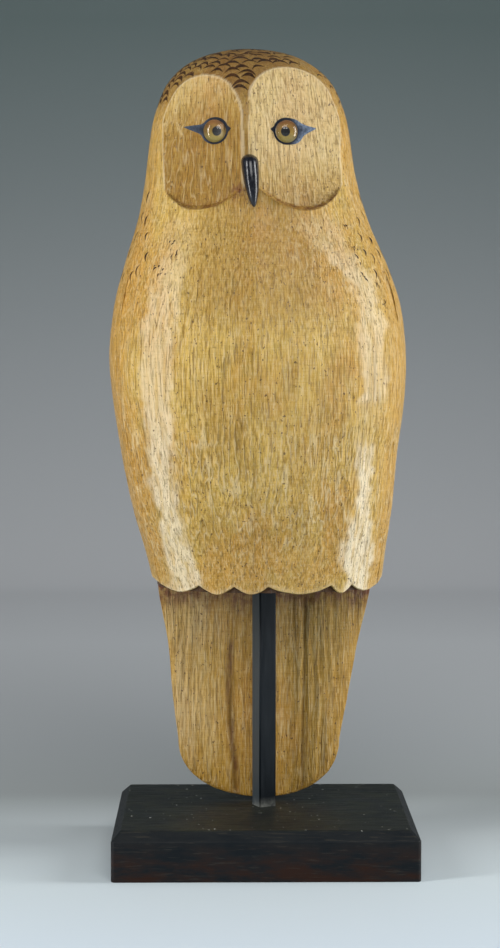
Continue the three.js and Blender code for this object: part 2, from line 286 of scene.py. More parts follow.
def wrapped(places, marks):
    # a flat grid whose columns go once round the piece and whose rows run down it
    rows, columns = places.shape[0] - 1, places.shape[1] - 1
    piece = bmesh.new()
    bmesh.ops.create_grid(piece, x_segments=columns, y_segments=rows, size=0.5)
    flat = np.array([v.co[:2] for v in piece.verts])
    column = np.rint((flat[:, 0] + 0.5) * columns).astype(int)
    row = np.rint((0.5 - flat[:, 1]) * rows).astype(int)
    for v, place in zip(piece.verts, places[row, column]):
        v.co = Vector(place) * mm
    layers = {name: piece.verts.layers.float.new(name) for name in marks}
    for name, layer in layers.items():
        for v, value in zip(piece.verts, marks[name][row, column]):
            v[layer] = value
    bmesh.ops.remove_doubles(piece, verts=piece.verts, dist=1e-6)
    bmesh.ops.recalc_face_normals(piece, faces=piece.faces)
    return piece


def turnsOf(columns):
    # the angle of each column, from the middle of the back round by the left to the front; finer in front
    back = columns["back"] // 2
    parts = [
        np.linspace(-180, -90, back, endpoint=False),
        np.linspace(-90, 90, columns["front"], endpoint=False),
        np.linspace(90, 180, back + 1),
    ]
    return np.radians(np.concatenate(parts))


def outwardOf(places):
    # the outward direction at each place of a wrapped grid
    across = np.gradient(places, axis=1)
    across[:, 0] = across[:, -1] = places[:, 1] - places[:, -2]
    down = np.gradient(places, axis=0)
    out = np.cross(down, across)
    return out / np.maximum(np.linalg.norm(out, axis=2, keepdims=True), 1e-9)


def newObject(name, data):
    made = bpy.data.objects.new(name, data)
    bpy.context.scene.collection.objects.link(made)
    return made


def finished(piece, name, material, sharpAngle=0):
    mesh = bpy.data.meshes.new(name)
    piece.to_mesh(mesh)
    piece.free()
    mesh.polygons.foreach_set("use_smooth", [True] * len(mesh.polygons))
    mesh.materials.append(material)
    if sharpAngle:
        mesh.set_sharp_from_angle(angle=math.radians(sharpAngle))
    return newObject(name, mesh)


# Materials
def newMaterial(name):
    material = bpy.data.materials.new(name)
    material.use_nodes = True
    return material, material.node_tree


def addNode(tree, kind, **settings):
    node = tree.nodes.new(kind)
    for name, value in settings.items():
        setattr(node, name, value)
    return node


def fill(tree, socket, value):
    # sets a socket to a plain value or joins it to another socket
    if isinstance(value, (int, float)):
        socket.default_value = value
    elif isinstance(value, (tuple, list)):
        socket.default_value = (*value, 1) if len(socket.default_value) == 4 else value
    else:
        tree.links.new(value, socket)


def stretched(tree, place, scale, turn=(0, 0, 0)):
    mapping = addNode(tree, "ShaderNodeMapping")
    mapping.inputs["Scale"].default_value = scale
    mapping.inputs["Rotation"].default_value = turn
    tree.links.new(place, mapping.inputs["Vector"])
    return mapping.outputs["Vector"]


def noise(tree, place, scale, detail=4.0, roughness=0.6, distortion=0.0):
    texture = addNode(tree, "ShaderNodeTexNoise")
    values = {"Scale": 1, "Detail": detail, "Roughness": roughness, "Distortion": distortion}
    for name, value in values.items():
        texture.inputs[name].default_value = value
    tree.links.new(stretched(tree, place, scale), texture.inputs["Vector"])
    return texture.outputs["Fac"]


def ranged(tree, value, low, high, toLow=0.0, toHigh=1.0):
    node = addNode(tree, "ShaderNodeMapRange")
    for name, number in (("From Min", low), ("From Max", high), ("To Min", toLow), ("To Max", toHigh)):
        node.inputs[name].default_value = number
    tree.links.new(value, node.inputs["Value"])
    return node.outputs["Result"]


def sums(tree, operation, a, b):
    node = addNode(tree, "ShaderNodeMath", operation=operation)
    fill(tree, node.inputs[0], a)
    fill(tree, node.inputs[1], b)
    return node.outputs["Value"]


def times(tree, value, *factors):
    for factor in factors:
        value = sums(tree, "MULTIPLY", value, factor)
    return value


def blended(tree, amount, a, b, kind="MIX"):
    node = addNode(tree, "ShaderNodeMix", data_type="RGBA", blend_type=kind)
    fill(tree, node.inputs["Factor"], amount)
    fill(tree, node.inputs["A"], a)
    fill(tree, node.inputs["B"], b)
    return node.outputs["Result"]


def layered(tree, colour, coats):
    # lays coats over a colour, each with its amount and its tone, and how it mixes where that isn't plain
    for amount, tone, *kind in coats:
        colour = blended(tree, amount, colour, tone, *kind)
    return colour


def masked(tree, name):
    return addNode(tree, "ShaderNodeAttribute", attribute_name=name).outputs["Fac"]


def objectPlace(tree):
    return addNode(tree, "ShaderNodeTexCoord").outputs["Object"]


def heightOf(tree, place):
    split = addNode(tree, "ShaderNodeSeparateXYZ")
    tree.links.new(place, split.inputs["Vector"])
    return split.outputs["Z"]


def coated(tree, colour, roughness, specular=0.5):
    shader = tree.nodes["Principled BSDF"]
    for name, value in (("Base Color", colour), ("Roughness", roughness), ("Specular IOR Level", specular)):
        fill(tree, shader.inputs[name], value)
    return shader


def bumped(tree, height, distance):
    node = addNode(tree, "ShaderNodeBump")
    node.inputs["Distance"].default_value = distance
    tree.links.new(height, node.inputs["Height"])
    tree.links.new(node.outputs["Normal"], tree.nodes["Principled BSDF"].inputs["Normal"])


def fibreMasks(tree, place):
    # long wood fibres along Z, with finer ones between them and dark cracks
    threads = noise(tree, place, (70, 70, 900), 2, 0.5)
    return {
        "Streaks": noise(tree, place, (430, 430, 36), 5, 0.68, 0.25),
        "Lines": noise(tree, place, (440, 440, 17), 4, 0.66, 0.15),
        "Fine": sums(tree, "ADD", noise(tree, place, (950, 950, 90), 3, 0.65), times(tree, threads, 0.25)),
        "Cracks": ranged(tree, noise(tree, place, (640, 640, 42), 4, 0.55, 0.3), 0.58, 0.64),
    }


def dustMasks(tree, place):
    # a grey bloom in patches, and separate pale specks
    return {
        "Bloom": ranged(tree, noise(tree, place, (55, 55, 55), 5, 0.7), 0.4, 0.7),
        "Specks": ranged(tree, noise(tree, place, (300, 300, 300), 1, 0.4), 0.765, 0.785),
    }


def newGroup(name, makeMasks):
    group = bpy.data.node_groups.new(name, "ShaderNodeTree")
    group.interface.new_socket(name="Place", in_out="INPUT", socket_type="NodeSocketVector")
    masks = makeMasks(group, group.nodes.new("NodeGroupInput").outputs["Place"])
    for mask in masks:
        group.interface.new_socket(name=mask, in_out="OUTPUT", socket_type="NodeSocketFloat")
    end = group.nodes.new("NodeGroupOutput")
    for mask, value in masks.items():
        group.links.new(value, end.inputs[mask])
    return group


fibresGroup = newGroup("woodFibres", fibreMasks)
dustGroup = newGroup("lyingDust", dustMasks)


def placedGroup(tree, group, place):
    node = addNode(tree, "ShaderNodeGroup", node_tree=group)
    tree.links.new(place, node.inputs["Place"])
    return node.outputs


ochre = {
    "deep": (0.20, 0.105, 0.014),
    "mid": (0.56, 0.345, 0.055),
    "light": (0.70, 0.46, 0.105),
    "orange": (0.56, 0.27, 0.030),
    "olive": (0.40, 0.27, 0.045),
    "cream": (0.76, 0.61, 0.35),
    # the pale of worn paint and painted sheen on the flats, also the painted highlight along the edges
    "rubbed": (0.93, 0.79, 0.55),
    "golden": (0.30, 0.155, 0.010),
    "glaze": (0.68, 0.54, 0.16),
    "brown": (0.085, 0.036, 0.010),
    "crown": (0.20, 0.10, 0.022),
    "grime": (0.13, 0.03, 0.008),
    "streakBump": 0.7,
    "lineBump": 0.95,
    "fineBump": 0.5,
    "ridgeBump": 0.6,
    "crackBump": 0.25,
    "bumpDistance": 0.0013,
}


def carvedWood():
    material, tree = newMaterial("ochreWood")
    place = objectPlace(tree)
    fibres = placedGroup(tree, fibresGroup, place)
    streaks, lines, fine, cracks = (fibres[name] for name in ("Streaks", "Lines", "Fine", "Cracks"))
    patches = noise(tree, place, (16, 16, 8), 3)
    blotches = noise(tree, place, (120, 120, 60), 4, 0.65)

    # wandering ridges left between the gouge cuts, their crests painted cream as a highlight
    waves = noise(tree, place, (170, 170, 17), 1.5, 0.5, 0.25)
    off = sums(tree, "ABSOLUTE", sums(tree, "SUBTRACT", waves, 0.5), 0)
    broken = ranged(tree, noise(tree, place, (60, 60, 45), 2), 0.38, 0.52)
    ridge = times(tree, ranged(tree, off, 0, 0.045, 1, 0), broken, masked(tree, "gouged"))
    bowl = times(tree, ranged(tree, off, 0, 0.10, 1, 0), masked(tree, "gouged"))

    # golden: the paint's own tone on breast and tail, and painted shade low on the discs and on the left disc
    golden = times(tree, masked(tree, "golden"), ranged(tree, blotches, 0.3, 0.65, 1, 0.7))
    strips = ranged(tree, noise(tree, place, (210, 210, 9), 4, 0.6), 0.38, 0.52, 0.4, 1)
    # pale strips on the flats: worn paint with a painted sheen
    wearAndSheenStrips = times(tree, masked(tree, "rubbed"), strips)
    darkLines = times(tree, ranged(tree, lines, 0.45, 0.34), ranged(tree, wearAndSheenStrips, 0, 1, 0.5, 0.22))
    # painted shade, darker in the hollows of the cuts
    hollows = times(tree, masked(tree, "hollow"), ranged(tree, streaks, 0.3, 0.62, 1, 0.35))
    pits = ranged(tree, noise(tree, place, (520, 520, 340), 2, 0.5), 0.665, 0.70, 0, 0.85)
    # the crown's brown tint, also laid on the tail as painted shade under the skirt
    crownTint = times(tree, masked(tree, "tinted"), ranged(tree, blotches, 0.3, 0.65, 1, 0.45))
    patchy = ranged(tree, noise(tree, place, (190, 190, 150), 4), 0.42, 0.56, 0.05, 1)
    colour = layered(tree, ochre["mid"], [
        (ranged(tree, streaks, 0.40, 0.60), ochre["light"]),
        (ranged(tree, patches, 0.44, 0.60, 0, 0.7), ochre["orange"]),
        (ranged(tree, blotches, 0.48, 0.66, 0, 0.5), ochre["olive"]),
        (times(tree, masked(tree, "flank"), 0.5), ochre["orange"]),
        # pale: painted sheen on the discs
        (times(tree, masked(tree, "pale"), 0.62), ochre["cream"]),
        (ranged(tree, lines, 0.55, 0.64, 0, 0.3), ochre["cream"]),
        (times(tree, golden, 0.6), ochre["golden"]),
        (wearAndSheenStrips, ochre["rubbed"]),
        (darkLines, ochre["deep"]),
        (ranged(tree, fine, 0.63, 0.77, 0, 0.45), ochre["cream"]),
        (ranged(tree, fine, 0.58, 0.44, 0, 0.6), ochre["deep"]),
        (golden, ochre["glaze"], "MULTIPLY"),
        (hollows, ochre["deep"]),
        (times(tree, ridge, 0.6), ochre["cream"]),
        (times(tree, cracks, 0.5), ochre["deep"]),
        (pits, ochre["brown"]),
        (crownTint, ochre["crown"]),
        # brown: painted shade under the skirt, and on the tail under the skirt and in its grooves
        (masked(tree, "brown"), ochre["brown"]),
        # dark red-brown: the stain by the beak, a line along the feet of the discs, and painted shade on the
        # tail under the skirt and in its grooves
        (times(tree, masked(tree, "grime"), patchy), ochre["grime"]),
        # a pale line along the edges: painted highlight where the paint is also worn
        (masked(tree, "arris"), ochre["rubbed"]),
    ])
    coated(tree, colour, ranged(tree, streaks, 0.35, 0.65, 0.44, 0.28), 0.34)
    height = times(tree, streaks, ochre["streakBump"])
    for relief, strength in ((fine, "fineBump"), (lines, "lineBump"), (bowl, "ridgeBump")):
        height = sums(tree, "ADD", height, times(tree, relief, ochre[strength]))
    height = sums(tree, "SUBTRACT", height, times(tree, cracks, ochre["crackBump"]))
    bumped(tree, height, ochre["bumpDistance"])
    return material


# the dark paints: marks and rings on the owl, its beak, the bar and the block
dark = {
    "mark": (0.022, 0.010, 0.005),
    "markWorn": (0.085, 0.036, 0.012),
    "ring": (0.014, 0.017, 0.026),
    "ringBlue": (0.06, 0.085, 0.14),
    "ringPaleBlue": (0.23, 0.29, 0.39),
    "beak": (0.006, 0.007, 0.011),
    "beakScuffed": (0.02, 0.022, 0.03),
    "bar": (0.005, 0.008, 0.011),
    "barWiped": (0.011, 0.015, 0.019),
    # the bar's left face, painted lighter as a reflection of the light beside it
    "barSheen": (0.052, 0.066, 0.076),
    "barDust": (0.30, 0.31, 0.28),
    "block": (0.006, 0.009, 0.012),
    "blockWorn": (0.014, 0.016, 0.017),
    "blockBrown": (0.026, 0.011, 0.007),
    "blockBloom": (0.024, 0.028, 0.019),
    "blockCracks": (0.05, 0.045, 0.035),
    "blockSpecks": (0.5, 0.52, 0.48),
}


def darkPaint():
    material, tree = newMaterial("featherPaint")
    worn = noise(tree, objectPlace(tree), (420, 420, 300), 3)
    colour = blended(tree, ranged(tree, worn, 0.4, 0.62), dark["mark"], dark["markWorn"])
    shader = coated(tree, colour, 0.55, 0.2)
    wear = sums(tree, "ADD", worn, times(tree, masked(tree, "faint"), 0.2))
    tree.links.new(ranged(tree, wear, 0.64, 0.72, 1, 0), shader.inputs["Alpha"])
    return material


def eyePaint():
    material, tree = newMaterial("eyePaint")
    worn = noise(tree, objectPlace(tree), (500, 500, 500), 3)
    blue = blended(tree, ranged(tree, worn, 0.35, 0.65), dark["ringBlue"], dark["ringPaleBlue"])
    colour = blended(tree, masked(tree, "blue"), dark["ring"], blue)
    coated(tree, colour, ranged(tree, worn, 0.3, 0.7, 0.5, 0.65), 0.12)
    return material


def glossyBlack():
    material, tree = newMaterial("beakGloss")
    scuffs = noise(tree, objectPlace(tree), (700, 700, 260), 3)
    colour = blended(tree, ranged(tree, scuffs, 0.45, 0.7), dark["beak"], dark["beakScuffed"])
    coated(tree, colour, ranged(tree, scuffs, 0.35, 0.7, 0.14, 0.3))
    bumped(tree, scuffs, 0.00008)
    return material


def clearGlass():
    material, tree = newMaterial("eyeGlass")
    shader = coated(tree, (1, 1, 1), 0.03)
    shader.inputs["IOR"].default_value = 1.45
    shader.inputs["Transmission Weight"].default_value = 1
    return material


# the iris: its inner and outer colour, each below and above the middle, and what is painted over them
iris = {
    "inner": [(0.46, 0.36, 0.055), (0.42, 0.19, 0.04)],
    "outer": [(0.30, 0.23, 0.028), (0.32, 0.12, 0.022)],
    "flecks": (0.16, 0.10, 0.02),
    "edge": (0.03, 0.02, 0.01),
    "pupil": (0.016, 0.018, 0.02),
}


def irisPaint():
    material, tree = newMaterial("irisPaint")
    ring = masked(tree, "radius")
    upper = masked(tree, "upper")
    flecks = noise(tree, objectPlace(tree), (900, 900, 900), 2)
    colour = layered(tree, blended(tree, upper, *iris["inner"]), [
        (ranged(tree, ring, 0.5, 0.8), blended(tree, upper, *iris["outer"])),
        (ranged(tree, flecks, 0.4, 0.7, 0, 0.35), iris["flecks"]),
        (ranged(tree, ring, 0.9, 1.0, 0, 0.8), iris["edge"]),
        (ranged(tree, masked(tree, "pupil"), 0.40, 0.35), iris["pupil"]),
    ])
    coated(tree, colour, 0.35)
    return material


def satinBlack():
    material, tree = newMaterial("barBlack")
    place = objectPlace(tree)
    wipes = noise(tree, place, (260, 260, 30), 4)
    bloom = placedGroup(tree, dustGroup, place)["Bloom"]
    foot = ranged(tree, heightOf(tree, place), 0.050, 0.041)
    colour = layered(tree, dark["bar"], [
        (ranged(tree, wipes, 0.4, 0.7), dark["barWiped"]),
        # the left face laid lighter: a painted reflection
        (times(tree, masked(tree, "rubbed"), 0.8), dark["barSheen"]),
        (times(tree, foot, bloom, 0.8), dark["barDust"]),
    ])
    coated(tree, colour, ranged(tree, wipes, 0.3, 0.7, 0.36, 0.48), 0.22)
    bumped(tree, wipes, 0.00012)
    return material


def wornBlack():
    material, tree = newMaterial("blockPaint")
    place = objectPlace(tree)
    dust = placedGroup(tree, dustGroup, place)
    along = placedGroup(tree, fibresGroup, stretched(tree, place, (1, 1, 1), (0, math.pi / 2, 0)))
    broad = noise(tree, place, (26, 26, 90), 5, 0.65)
    height = heightOf(tree, place)
    top = ranged(tree, height, 0.0400, 0.0412)
    low = times(tree, ranged(tree, height, 0.034, 0.012), ranged(tree, broad, 0.40, 0.60))
    colour = layered(tree, dark["block"], [
        (ranged(tree, broad, 0.35, 0.7), dark["blockWorn"]),
        (low, dark["blockBrown"]),
        (times(tree, top, ranged(tree, dust["Bloom"], 0, 1, 0.1, 0.75)), dark["blockBloom"]),
        (times(tree, along["Cracks"], 0.35), dark["blockCracks"]),
        (times(tree, dust["Specks"], times(tree, top, 0.9)), dark["blockSpecks"]),
    ])
    coated(tree, colour, ranged(tree, along["Streaks"], 0.3, 0.7, 0.42, 0.6), 0.15)
    bumped(tree, sums(tree, "ADD", along["Streaks"], along["Fine"]), 0.00018)
    return material


woodMaterial = carvedWood()
paintMaterial = darkPaint()
eyePaintMaterial = eyePaint()
beakMaterial = glossyBlack()
glassMaterial = clearGlass()
irisMaterial = irisPaint()
barMaterial = satinBlack()
blockMaterial = wornBlack()
print("materials made")

# Painted feather marks: arches on the crown, crescents down the sides and the back
feathers = {
    "segments": 9,
    "lift": 0.12,
    "offFace": 3.2,
    "crown": {"width": 13.5, "height": 4.6, "thick": 3.1, "rows": 14, "high": 685.5, "low": 640},
    "side": {
        "width": 9.5, "height": 3.4, "thick": 1.9, "tilt": (78, 78), "share": 0.75,
        "pitch": 15, "closer": 1, "high": 558, "low": 486, "from": 60, "to": 100, "step": 8,
    },
    "back": {
        "width": 13, "height": 4.5, "thick": 1.9, "tilt": (180, 95), "share": 0.9,
        "pitch": 17, "closer": 0.5, "high": 633, "low": 330, "from": 108, "to": 180, "step": 10,
    },
    "fleck": {"width": 4, "height": 1},
    "flecks": [
        (-77, 522), (-75, 512), (-90, 501), (-86, 497),
        (66, 534), (73, 519), (77, 508), (81, 494), (94, 489), (100, 473),
    ],
}

# The carving from crown to skirt
bodyGrid = {"front": 244, "back": 60, "head": 88, "torso": 206, "edgeRun": 22}
bodyCuts = {"lane": 110, "wave": 0.3, "knife": 0.85, "scoop": 0.85, "disc": 0.7}


# long flats left by the knife, by their edges as shares of the half width
facets = {
    "left": [0, 0.3, 0.565, 0.77, 0.93],
    "right": [0, 0.33, 0.665, 0.83, 0.95],
    "amount": 0.9,
    "wander": 0.03,
    "high": 556,
    "gap": (356, 392),
}


def facetShare(share, z, power, reach):
    # the depth share with each flat cut straight between its edges
    wander = (ripple(z / 60, share * 0 + 3, 21) - 0.5) * facets["wander"]
    size = np.abs(share) + wander
    flat = reach
    for edges, here in ((facets["left"], share < 0), (facets["right"], share >= 0)):
        for start, end in zip(edges, edges[1:]):
            chord = chordShare(size, start, end, power)
            flat = np.where(here & (size >= start) & (size < end), np.minimum(reach, chord), flat)
    gap = band(*facets["gap"], 6, z) * (share > 0.4)
    amount = facets["amount"] * smooth(facets["high"] + 8, facets["high"] - 18, z) * (1 - 0.8 * gap)
    return mix(reach, flat, amount)


def evenHeights(high, low, count):
    # heights that step evenly along the front of the form
    z = np.linspace(high, low, 4000)
    reach = torsoSection(z)["front"]
    run = np.concatenate([[0], np.cumsum(np.hypot(np.diff(z), np.diff(reach)))])
    return np.interp(np.linspace(0, run[-1], count + 1), run, z)


def snapToEdges(turn, z):
    # slides the places nearest to the edge of a disc onto it, so that the edge is crisp
    def cutOf(turn, z):
        x, y = torsoAt(turn, z)
        return np.where((np.cos(turn) > 0.02) & (z > disc["lowest"]), discCutY(x, z) - y, -1)

    cut = cutOf(turn, z)
    newTurn = turn.copy()
    newZ = z.copy()
    best = np.full(z.shape, 0.5)
    for rows, columns in ((1, 0), (-1, 0), (0, 1), (0, -1)):
        otherCut = np.roll(cut, (rows, columns), (0, 1))
        otherTurn = np.roll(turn, (rows, columns), (0, 1))
        otherZ = np.roll(z, (rows, columns), (0, 1))
        t = np.abs(cut) / np.maximum(np.abs(cut) + np.abs(otherCut), 1e-9)
        crossing = (cut > 0) != (otherCut > 0)
        closer = crossing & (t < best) & (np.abs(otherTurn - turn) < 0.1) & (np.abs(otherZ - z) < 6)
        newTurn = np.where(closer, mix(turn, otherTurn, t), newTurn)
        newZ = np.where(closer, mix(z, otherZ, t), newZ)
        best = np.where(closer, t, best)
    return newTurn, newZ


# the strips of the flats where the paint is worn pale and a painted sheen is laid on, as shares of the half
# width by height
rubbed = {
    "left": {
        "z": [243, 286, 350, 432, 534],
        "from": [0.54, 0.64, 0.61, 0.557, 0.46],
        "to": [0.82, 0.79, 0.80, 0.757, 0.72],
    },
    "right": {
        "z": [243, 260, 309, 355, 407, 489, 534],
        "from": [0.66, 0.58, 0.69, 0.63, 0.675, 0.67, 0.36],
        "to": [0.84, 0.87, 0.82, 0.79, 0.83, 0.83, 0.71],
    },
    "soft": 0.03,
    "wander": 0.07,
}


def wearAndSheenShare(share, z):
    coarse = ripple(z / 13, share * 9, 51) - 0.5
    fine = ripple(z / 5, share * 14, 52) - 0.5
    size = np.abs(share) + (coarse + 0.6 * fine) * rubbed["wander"]
    found = z * 0.0
    for name, here in (("left", share < 0), ("right", share >= 0)):
        strip = rubbed[name]
        start = np.interp(z, strip["z"], strip["from"])
        end = np.interp(z, strip["z"], strip["to"])
        found = np.where(here, band(start, end, rubbed["soft"], size), found)
    gap = band(*facets["gap"], 5, z) * (share > 0.4)
    strength = mix(0.8, 0.42, smooth(330, 430, z)) * mix(1, 0.45, smooth(490, 530, z)) * smooth(548, 536, z)
    strength = strength * np.where(share > 0, 1.25, mix(1, 0.75, smooth(470, 500, z)))
    return np.clip(found * (1 - 0.85 * gap) * strength, 0, 1)


# two thin cuts across the breast, by height and ends, and the stain left of the beak
creases = [{"height": 391, "from": -52, "to": 32}, {"height": 362, "from": 2, "to": 66}]
stain = {"x": -23, "width": 7, "z": 562, "height": 9}


def bodyPlaces():
    turns = turnsOf(bodyGrid)
    heights = np.concatenate([
        evenHeights(level["crown"], level["brow"], bodyGrid["head"]),
        evenHeights(level["brow"], level["skirt"], bodyGrid["torso"])[1:],
    ])
    turn, z = np.meshgrid(turns, heights)
    turn, z = snapToEdges(turn, z)
    share = np.sin(turn)
    isFront = np.cos(turn) >= 0
    edgeX, _ = torsoPlace(share, isFront, np.full_like(z, level["skirt"]))
    edgeZ = skirtEdgeZ(edgeX, isFront)
    near = np.clip(1 - (z - level["skirt"]) / bodyGrid["edgeRun"], 0, 1)
    z = z + (edgeZ - level["skirt"]) * near**1.5
    x, y = torsoPlace(share, isFront, z)
    section = torsoSection(z)
    reach = facetShare(share, z, section["fullness"], depthShare(share, section["fullness"], z))
    y = np.where(isFront, section["centre"] - section["front"] * reach, y)
    cutY = discCutY(x, z)
    inside = cutY - y
    onDisc = isFront & (z > disc["lowest"]) & (inside > -0.01)
    flatDisc = onDisc & (z > discFootZ(x) - 0.2)
    y = np.where(onDisc, np.maximum(y, cutY), y)
    places = np.stack([x, y, z], axis=2)
    out = outwardOf(places)
    # the cuts of knife and gouge, shallower on the discs and next to their edges
    lane = turn * bodyCuts["lane"]
    away = np.abs(np.degrees(turn))
    atSeam = smooth(180, 168, away)  # the cuts level out where the ends of the rows meet
    wave = mix(0.5, ripple(lane / 4.5, z / 30, 1), atSeam)
    knife = mix(0.5, ripple(lane / 15, z / 90, 2) * 0.6 + ripple(lane / 8, z / 42, 3) * 0.4, atSeam)
    low = smooth(392, 350, z) * smooth(252, 285, z)
    cuts = scoops(lane, z, 7.5, 26, 11) * (0.3 + 0.7 * low) * atSeam
    bodyDepth = bodyCuts["wave"] * wave + bodyCuts["knife"] * knife + bodyCuts["scoop"] * cuts
    discCuts = ripple(x / 5, z / 13, 5) * 0.6 + scoops(x, z, 8, 20, 31) * 0.4
    depth = np.where(flatDisc, bodyCuts["disc"] * discCuts, bodyDepth)
    edgeOf = np.minimum(1, np.abs(cutY - y) / 2.2)
    depth = depth * np.where(isFront & (z > disc["lowest"]), edgeOf * 0.85 + 0.15, 1)
    for crease in creases:
        line = bell(z - crease["height"] - 1.5 * np.sin(x / 17), 1.3)
        depth = depth + 0.4 * line * band(crease["from"], crease["to"], 8, x) * isFront
    depth = depth * smooth(level["crown"], level["crown"] - 1.5, z)
    depth = np.where(z < level["crown"], np.maximum(depth, feathers["lift"] + 0.1), depth)
    places = places - out * depth[:, :, None]
    # where the paint is stained, tinted, golden or worn through, and where highlight and shade are painted
    # on, from 0 to 1
    # a dark red-brown line along the foot of each disc
    foot = bell(z - discFootZ(x) + 1.2, 1.7) * onDisc
    byBeak = bell(x - stain["x"], stain["width"]) * bell(z - stain["z"], stain["height"]) * isFront
    behind = smooth(80, 150, away)
    crownTint = smooth(mix(628, 540, behind), 652, z + 6 * knife) * np.where(flatDisc, 0, 1)
    crownTint = crownTint * np.where(isFront, mix(0.9, 0.45, smooth(5, 60, x)), 0.75)
    between = isFront & ~flatDisc & (z > 570) & (z < 650) & (np.abs(x + 15) < 12)
    # a pale line along the discs' edges: a painted highlight on the arrises, where the paint is also worn
    arris = isFront & (z > 566) & (inside > -1.0) & (inside < 0.3)
    # darker where the cuts lie deepest: painted shade in the hollows, and on the discs low down
    hollow = np.clip(cuts * 0.25 + (wave - 0.55) * 0.4 + (knife - 0.5) * 0.5, 0, 1)
    # the discs carry painted highlight and shade: pale sheen high up and most on the right disc, golden and
    # darker low down and on the left disc
    onLeft = smooth(4, -6, x + 14)
    lowOnDisc = onLeft * smooth(655, 595, z - 0.3 * (x + 60)) + (1 - onLeft) * 0.6 * smooth(600, 565, z)
    discGold = np.clip(lowOnDisc * mix(0.5, 0.85, onLeft) + mix(0.1, 0.25, onLeft), 0, 1)
    size = np.abs(share)
    breastGold = smooth(440, 480, z) * smooth(0.6, 0.35, size) * 0.5
    midGold = smooth(250, 300, z) * smooth(450, 380, z) * smooth(0.62, 0.5, size)
    midGold = midGold * 0.4 * ripple(x / 22, z / 40, 61) ** 2
    hollow = np.where(flatDisc, np.clip((discCuts - 0.5) * 0.5 + lowOnDisc * 0.25, 0, 1), hollow)
    gouged = 0.2 + 0.8 * low + 0.5 * smooth(470, 510, z) * smooth(5, 40, x) + smooth(0.6, 0.8, size) * 0.35
    # a pale line along the skirt's edge: a painted highlight
    rim = bell(z - edgeZ - 0.6, 1.2) * 0.25
    marks = {
        "pale": np.where(flatDisc, mix(0.78, 0.15, lowOnDisc) * mix(1, 0.6, onLeft), z * 0.0),
        "golden": np.clip(np.where(flatDisc, discGold, (breastGold + midGold) * isFront), 0, 1),
        "rubbed": np.where(flatDisc | ~isFront, 0, wearAndSheenShare(share, z)),
        "tinted": np.clip(np.maximum(crownTint, between * 0.5), 0, 1),
        "brown": z * 0.0,
        "grime": np.clip(foot * 0.95 + byBeak * 0.8, 0, 1),
        "hollow": hollow,
        "gouged": np.where(flatDisc, 0.6, np.clip(gouged, 0, 1)),
        "flank": smooth(0.78, 0.93, size) * np.where(flatDisc, 0, 1),
        "arris": np.maximum(arris * 0.32, rim),
    }
    return underside(places, marks)


def underside(places, marks):
    # turns the edge of the skirt in, over its inner wall, and closes it below; the wall and the underside are
    # painted brown as shade under the skirt
    edge = places[-1]
    middle = skirt["middle"]
    inward = np.stack([-edge[:, 0], middle - edge[:, 1]], axis=1)
    inward = inward / np.linalg.norm(inward, axis=1, keepdims=True)
    rows = []
    for inset, rise in ((1.2, -0.8), (skirt["thickness"], 0.6)):
        row = edge.copy()
        row[:, :2] += inward * inset
        row[:, 2] += rise
        rows.append(row)
    hem = rows[-1].copy()
    hem[:, 2] = np.minimum(level["hem"], edge[:, 2] - 0.5)
    rows.append(hem)
    for share in (0.8, 0.5, 0):
        row = hem.copy()
        row[:, 0] = hem[:, 0] * share
        row[:, 1] = middle + (hem[:, 1] - middle) * share
        row[:, 2] = mix(level["hem"], hem[:, 2], share)
        rows.append(row)
    places = np.concatenate([places, np.stack(rows)])
    for name, values in marks.items():
        # the inner rows are painted brown as shade under the skirt
        inner = np.full((len(rows), values.shape[1]), 1.0 if name == "brown" else 0.0)
        inner[0] = 0.0
        marks[name] = np.concatenate([values, inner])
    places[0] = places[0].mean(axis=0)
    return places, marks


carvedBody = finished(wrapped(*bodyPlaces()), "carvedBody", woodMaterial, 24)
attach(carvedBody, "root")
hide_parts("owl_body")
print("body carved:", len(carvedBody.data.polygons), "faces")

# The tail
tailGrid = {"front": 150, "back": 50, "rows": 96, "tipRows": 34, "top": 239}
tailCuts = {"gougeDepth": 1.1, "fineDepth": 0.35}
tailHollow = {"x": -27, "sway": 3, "width": 4.2, "depth": 1.3, "top": 196, "fade": 24}
tailGroove = {"x": 36, "slope": 0.02, "width": 1.6, "depth": 0.9}


